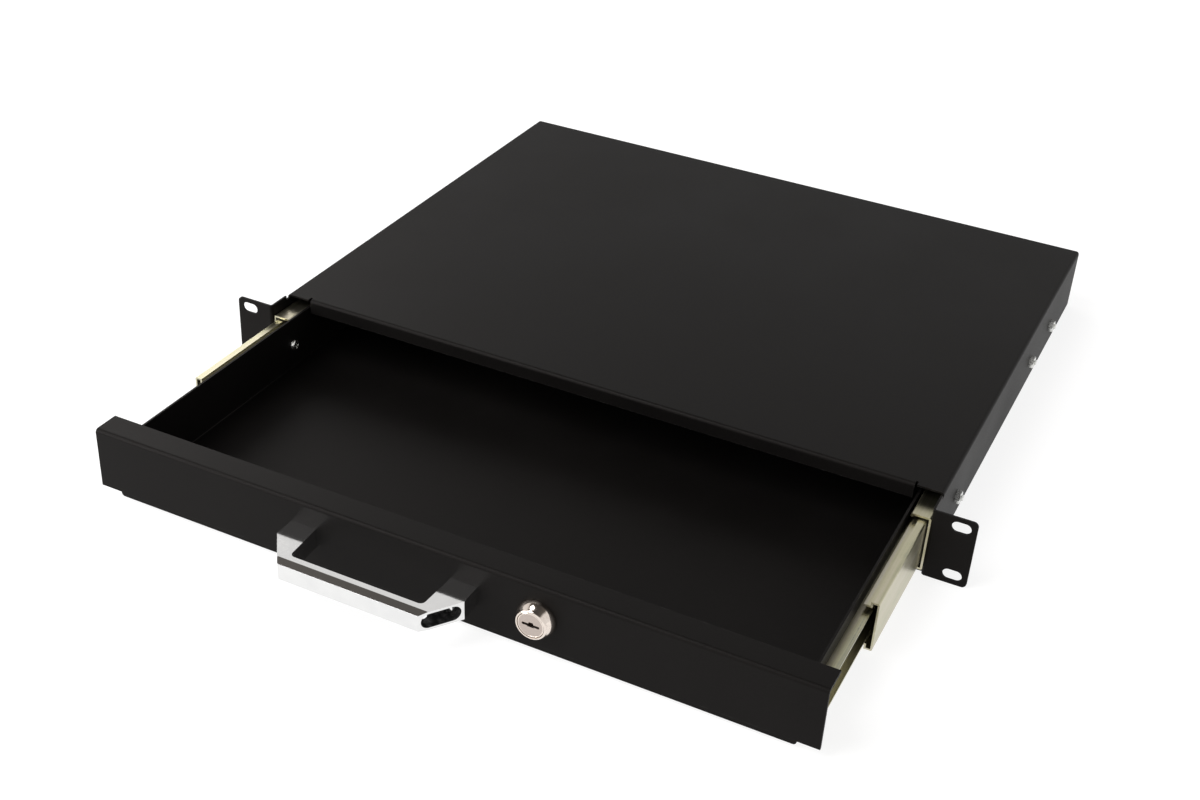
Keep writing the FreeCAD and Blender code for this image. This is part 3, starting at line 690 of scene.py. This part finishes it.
def lock_housing():
    """Nickel-plated barrel with a thread, and the domed bezel with a turned rim."""
    barrel = 9.5 * MM
    bore = 7.6 * MM
    rise = FRONT_FACE - housing_low.y
    end = FRONT_FACE - housing_high.y
    base = (housing_high.x - housing_low.x) / 2
    face = 8.5 * MM
    relief = barrel - 0.4 * MM
    profile = [(bore, end), (relief, end)]
    profile += thread(
        barrel - CREST_IN, barrel - CREST_IN - 0.4 * MM, end + 0.4 * MM, -3.2 * MM, 0.9 * MM,
    )
    profile += [
        (relief, -3.0 * MM), (relief, 0),
        (base - 0.15 * MM, 0), (base, 0.15 * MM),
        (base, 0.9 * MM), (base - 0.12 * MM, 1.7 * MM),
        (base - 0.38 * MM, 2.6 * MM), (base - 0.75 * MM, 3.5 * MM),
        (base - 1.22 * MM, 4.4 * MM), (base - 1.75 * MM, 5.3 * MM),
        (face + 0.35 * MM, rise - 0.85 * MM),
        (face + 0.12 * MM, rise - 0.30 * MM),
        (face - 0.15 * MM, rise - 0.05 * MM), (face - 0.4 * MM, rise),
        (bore + 0.25 * MM, rise), (bore + 0.08 * MM, rise - 0.1 * MM),
        (bore, rise - 0.35 * MM),
    ]
    bm = lathe(profile, 96)
    moved(bm, at(LOCK_X, FRONT_FACE, LOCK_Z, TO_FRONT))
    piece = new_piece("lock_bezel", mesh_from(bm, "lock_bezel", 32.0), "lock_housing")
    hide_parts("lock_housing")


def lock_plug():
    """Turning plug: a satin face with a turned rim, a keyway and the square for the cam."""
    plug = (plug_high.x - plug_low.x) / 2
    face = FRONT_FACE - plug_low.y
    tail = FRONT_FACE - plug_high.y
    square = 3.5 * MM
    shoulder = -20.7 * MM
    body = lathe([
        (0, shoulder), (plug - 0.4 * MM, shoulder), (plug, shoulder + 0.4 * MM),
        (plug, face - 0.5 * MM), (plug - 0.1 * MM, face - 0.16 * MM),
        (plug - 0.32 * MM, face), (plug - 0.75 * MM, face),
        (plug - 0.85 * MM, face - 0.1 * MM), (0, face - 0.1 * MM),
    ], 96)
    stub = prism(
        [(-square, -square), (square, -square), (square, square), (-square, square)],
        tail, shoulder + 0.2 * MM,
    )
    body = combine(body, stub, "UNION")
    slot_length = 10.0 * MM
    slot_width = 1.5 * MM
    wards = [
        (-1.9 * MM, -1.15 * MM), (1.9 * MM, -1.15 * MM),
        (1.35 * MM, 1.75 * MM), (-1.0 * MM, 1.75 * MM),
    ]
    depth = 8.0 * MM
    for outline in (stadium(slot_length, slot_width, 8), wards):
        body = combine(body, prism(outline, face - depth, face + MM))
    moved(body, at(LOCK_X, FRONT_FACE, LOCK_Z, TO_FRONT))
    piece = new_piece("lock_core", mesh_from(body, "lock_core", 32.0), "lock_plug")
    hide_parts("lock_plug")


# ---------------------------------------------------------------- fasteners


def hexagon(across):
    radius = across / math.sqrt(3)
    angles = [math.radians(60 * i + 30) for i in range(6)]
    return [(radius * math.cos(angle), radius * math.sin(angle)) for angle in angles]


def hex_nut(across, thick, hole):
    """A nut with both faces chamfered and a countersunk bore."""
    corner = across / math.sqrt(3)
    flat = across / 2
    drop = (corner - flat) * 0.62
    shape = lathe([
        (0, 0), (flat * 0.97, 0), (corner * 1.02, drop),
        (corner * 1.02, thick - drop), (flat * 0.97, thick), (0, thick),
    ], 48)
    body = combine(prism(hexagon(across), 0, thick), shape, "INTERSECT")
    lead = 0.35 * MM
    bore = lathe([
        (0, -MM), (hole + lead + MM, -MM), (hole, lead), (hole, thick - lead),
        (hole + lead + MM, thick + MM), (0, thick + MM),
    ], 32)
    return combine(body, bore)


def cross_recess(depth):
    """A cross recess that narrows with depth, its mouth at the height zero."""
    wide, narrow = 2.2 * MM, 1.2 * MM
    mouth, foot = 0.52 * MM, 0.32 * MM
    above = 0.3 * MM
    corners = [(-1, -1), (1, -1), (1, 1), (-1, 1)]
    arms = []
    for turn in (0, 90):
        arm = bmesh.new()
        high = [arm.verts.new((wide * x, mouth * y, above)) for x, y in corners]
        low = [arm.verts.new((narrow * x, foot * y, -depth)) for x, y in corners]
        arm.faces.new(high)
        arm.faces.new(list(reversed(low)))
        for i in range(4):
            j = (i + 1) % 4
            arm.faces.new((low[i], low[j], high[j], high[i]))
        arms.append(moved(arm, Matrix.Rotation(math.radians(turn), 4, "Z")))
    return combine(arms[0], arms[1], "UNION")


def pan_screw(head, thick, shank, length):
    """A pan-head screw, the head's underside at nought, threaded below."""
    lead = -length + 0.5 * MM
    profile = [(0, -length), (shank * 0.72, -length), (shank * 0.9, lead)]
    profile += thread(shank - CREST_IN, shank - ROOT_IN, lead, -0.3 * MM, 0.7 * MM)
    profile += [(shank - 0.25 * MM, 0), (head - 0.12 * MM, 0), (head, 0.15 * MM)]
    steps = 8
    for i in range(steps + 1):
        angle = math.radians(8 + 82 * i / steps)
        profile.append((head * math.cos(angle) ** 0.75 if i < steps else 0,
                        0.3 * MM + (thick - 0.3 * MM) * math.sin(angle)))
    recess = moved(cross_recess(1.3 * MM), Matrix.Translation((0, 0, thick)))
    return combine(lathe(profile, 40), recess)


def set_of(name, node, parts):
    """One piece that stands for a node with several like solids."""
    piece = new_piece(name, mesh_from(merged(parts), name, 32.0), node)
    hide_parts(node)


SPIN_PER_METRE = 40  # each tray screw stops at an angle of its own
M4_HEAD = 2.4 * MM
M4_SHANK = 2.0 * MM


def tray_screws():
    thick = M4_HEAD
    parts = []
    for low, high in islands("tray_screws"):
        middle = (low + high) / 2
        outward = 1 if middle.x > 0 else -1
        head_top = min(abs(low.x), abs(high.x))
        tip = max(abs(low.x), abs(high.x))
        seat = head_top + thick
        screw = pan_screw((high.z - low.z) / 2, thick, M4_SHANK, tip - seat)
        turn = TO_LEFT if outward > 0 else TO_RIGHT
        spin = Matrix.Rotation(middle.y * SPIN_PER_METRE, 4, "Z")
        parts.append(moved(screw, at(seat * outward, middle.y, middle.z, turn @ spin)))
    set_of("tray_screw_set", "tray_screws", parts)


def handle_screws():
    thick = M4_HEAD
    parts = []
    for low, high in islands("handle_screws"):
        middle = (low + high) / 2
        seat = high.y - thick
        screw = pan_screw((high.x - low.x) / 2, thick, M4_SHANK, seat - low.y)
        parts.append(moved(screw, at(middle.x, seat, middle.z, TO_REAR)))
    set_of("handle_screw_set", "handle_screws", parts)


def cam_screw():
    low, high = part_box("cam_screw")
    middle = (low + high) / 2
    thick = 2.2 * MM
    seat = high.y - thick
    screw = pan_screw((high.x - low.x) / 2, thick, 1.5 * MM, seat - low.y)
    moved(screw, at(middle.x, seat, middle.z, TO_REAR))
    set_of("cam_screw_detail", "cam_screw", [screw])


def casing_screws():
    """Countersunk screws whose threaded ends stand out of the nuts."""
    parts = []
    for low, high in islands("casing_screws"):
        middle = (low + high) / 2
        outward = 1 if middle.x > 0 else -1
        head_face = min(abs(low.x), abs(high.x))
        length = max(abs(low.x), abs(high.x)) - head_face
        head = (high.z - low.z) / 2
        shank = M4_SHANK
        lead = -length + 0.45 * MM
        rim = head - 0.1 * MM
        profile = [(0, -length), (shank * 0.7, -length), (shank * 0.92, lead)]
        profile += thread(shank - CREST_IN, shank - ROOT_IN, lead, -1.3 * MM, 0.7 * MM)
        profile += [(shank - 0.1 * MM, -1.2 * MM), (rim, -0.1 * MM), (rim, 0), (0, 0)]
        screw = lathe(profile, 40)
        turn = TO_LEFT if outward > 0 else TO_RIGHT
        parts.append(moved(screw, at(head_face * outward, middle.y, middle.z, turn)))
    set_of("casing_screw_set", "casing_screws", parts)


def casing_nuts():
    parts = []
    for low, high in islands("casing_nuts"):
        middle = (low + high) / 2
        outward = 1 if middle.x > 0 else -1
        seat = min(abs(low.x), abs(high.x))
        thick = high.x - low.x
        across = min(high.y - low.y, high.z - low.z)
        nut = hex_nut(across, thick, 2.05 * MM)
        turn = TO_RIGHT if outward > 0 else TO_LEFT
        parts.append(moved(nut, at(seat * outward, middle.y, middle.z, turn)))
    set_of("casing_nut_set", "casing_nuts", parts)


def lock_nut():
    low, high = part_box("lock_nut")
    middle = (low + high) / 2
    across = min(high.x - low.x, high.z - low.z)
    nut = hex_nut(across, high.y - low.y, 9.62 * MM)
    moved(nut, at(middle.x, low.y, middle.z, TO_REAR))
    set_of("lock_nut_detail", "lock_nut", [nut])


def balls(node):
    """Round balls in place of the frame's flat-sided ones."""
    steps = 14
    parts = []
    for low, high in islands(node):
        middle = (low + high) / 2
        radius = (high.y - low.y) / 2
        profile = [
            (radius * math.sin(math.pi * i / steps), -radius * math.cos(math.pi * i / steps))
            for i in range(1, steps)
        ]
        ball = lathe([(0, -radius)] + profile + [(0, radius)], 28)
        parts.append(moved(ball, Matrix.Translation(middle)))
    set_of(f"{node}_round", node, parts)


pull_handle()
lock_housing()
lock_plug()
lock_nut()
cam_screw()
tray_screws()
handle_screws()
casing_screws()
casing_nuts()
for side_name in ("left", "right"):
    for row_name in ("outer", "inner"):
        balls(f"{side_name}_{row_name}_balls")


# ---------------------------------------------------------------- floor, light, camera


def floor():
    """A pale floor just under the casing's feet, lit from within to a plain white."""
    half = 6.0
    gap = 0.02 * MM
    bm = bmesh.new()
    corners = [(-half, -half), (half, -half), (half, half), (-half, half)]
    bm.faces.new([bm.verts.new((x, y, FLOOR_Z - gap)) for x, y in corners])
    data = bpy.data.meshes.new("floor")
    bm.to_mesh(data)
    bm.free()
    plane = bpy.data.objects.new("floor", data)
    bpy.context.scene.collection.objects.link(plane)
    n = Nodes("floor")
    n.set(Base_Color=(0.25, 0.25, 0.25), Roughness=0.9, Emission_Color=(1.0, 1.0, 1.0),
          Emission_Strength=0.83)
    data.materials.append(n.material)


def surroundings():
    """A white room: bright walls, and a dim ceiling that the top faces of metal show."""
    world = bpy.data.worlds.new("studio")
    bpy.context.scene.world = world
    world.use_nodes = True
    tree = world.node_tree
    direction = tree.nodes.new("ShaderNodeTexCoord").outputs["Generated"]
    split = tree.nodes.new("ShaderNodeSeparateXYZ")
    tree.links.new(direction, split.inputs["Vector"])
    ramp = tree.nodes.new("ShaderNodeValToRGB")
    tree.links.new(split.outputs["Z"], ramp.inputs["Fac"])
    stops = [
        (0.0, (0.92, 0.92, 0.92)), (0.66, (0.86, 0.85, 0.84)),
        (0.79, (0.12, 0.11, 0.10)), (1.0, (0.06, 0.057, 0.054)),
    ]
    elements = ramp.color_ramp.elements
    while len(elements) < len(stops):
        elements.new(0.5)
    for element, (place, colour) in zip(elements, stops):
        element.position = place
        element.color = (*colour, 1)
    background = tree.nodes["Background"]
    tree.links.new(ramp.outputs["Color"], background.inputs["Color"])
    background.inputs["Strength"].default_value = 1.0


def softbox(name, place, target, wide, high, radiance, colour=(1.0, 1.0, 1.0)):
    """A rectangular area light, given by how bright its face looks."""
    lamp = bpy.data.lights.new(name, "AREA")
    lamp.shape = "RECTANGLE"
    lamp.size = wide
    lamp.size_y = high
    lamp.energy = radiance * math.pi * wide * high
    lamp.color = colour
    holder = bpy.data.objects.new(name, lamp)
    bpy.context.scene.collection.objects.link(holder)
    aim = Vector(target) - Vector(place)
    turn = aim.to_track_quat("-Z", "Y").to_matrix().to_4x4()
    holder.matrix_world = Matrix.Translation(Vector(place)) @ turn


def lights():
    """A large warm key from behind left, a soft light above the front, a low one at the left."""
    centre = (0.0, 0.1, 0.0)
    softbox("key", (-1.9, 1.1, 0.9), centre, 1.5, 1.3, 2.0, (1.0, 0.97, 0.94))
    softbox("front_soft", (-1.0, -1.1, 1.9), centre, 1.4, 1.7, 6.0)
    softbox("low_left", (-1.1, -0.95, 0.3), (-0.2, -0.1, 0.0), 0.6, 0.4, 12.0)


def camera():
    """Seen from the front right and above, as far off as a product shot."""
    place = Vector((0.3486, -0.7339, 0.53135))
    azimuth = math.radians(24.43)
    elevation = math.radians(32.04)
    roll = math.radians(3.48)
    back = Vector((
        math.sin(azimuth) * math.cos(elevation),
        -math.cos(azimuth) * math.cos(elevation),
        math.sin(elevation),
    ))
    right = Vector((math.cos(azimuth), math.sin(azimuth), 0.0))
    up = back.cross(right)
    x_axis = right * math.cos(roll) + up * math.sin(roll)
    y_axis = up * math.cos(roll) - right * math.sin(roll)
    lens = bpy.data.cameras.new("camera")
    lens.lens = 49.22
    lens.sensor_width = 36.0
    lens.clip_start = 0.01
    lens.clip_end = 50.0
    view = bpy.data.objects.new("camera", lens)
    bpy.context.scene.collection.objects.link(view)
    turn = Matrix((x_axis, y_axis, back)).transposed().to_4x4()
    view.matrix_world = Matrix.Translation(place) @ turn
    bpy.context.scene.camera = view


floor()
surroundings()
lights()
camera()
bpy.context.scene.view_settings.view_transform = "Standard"
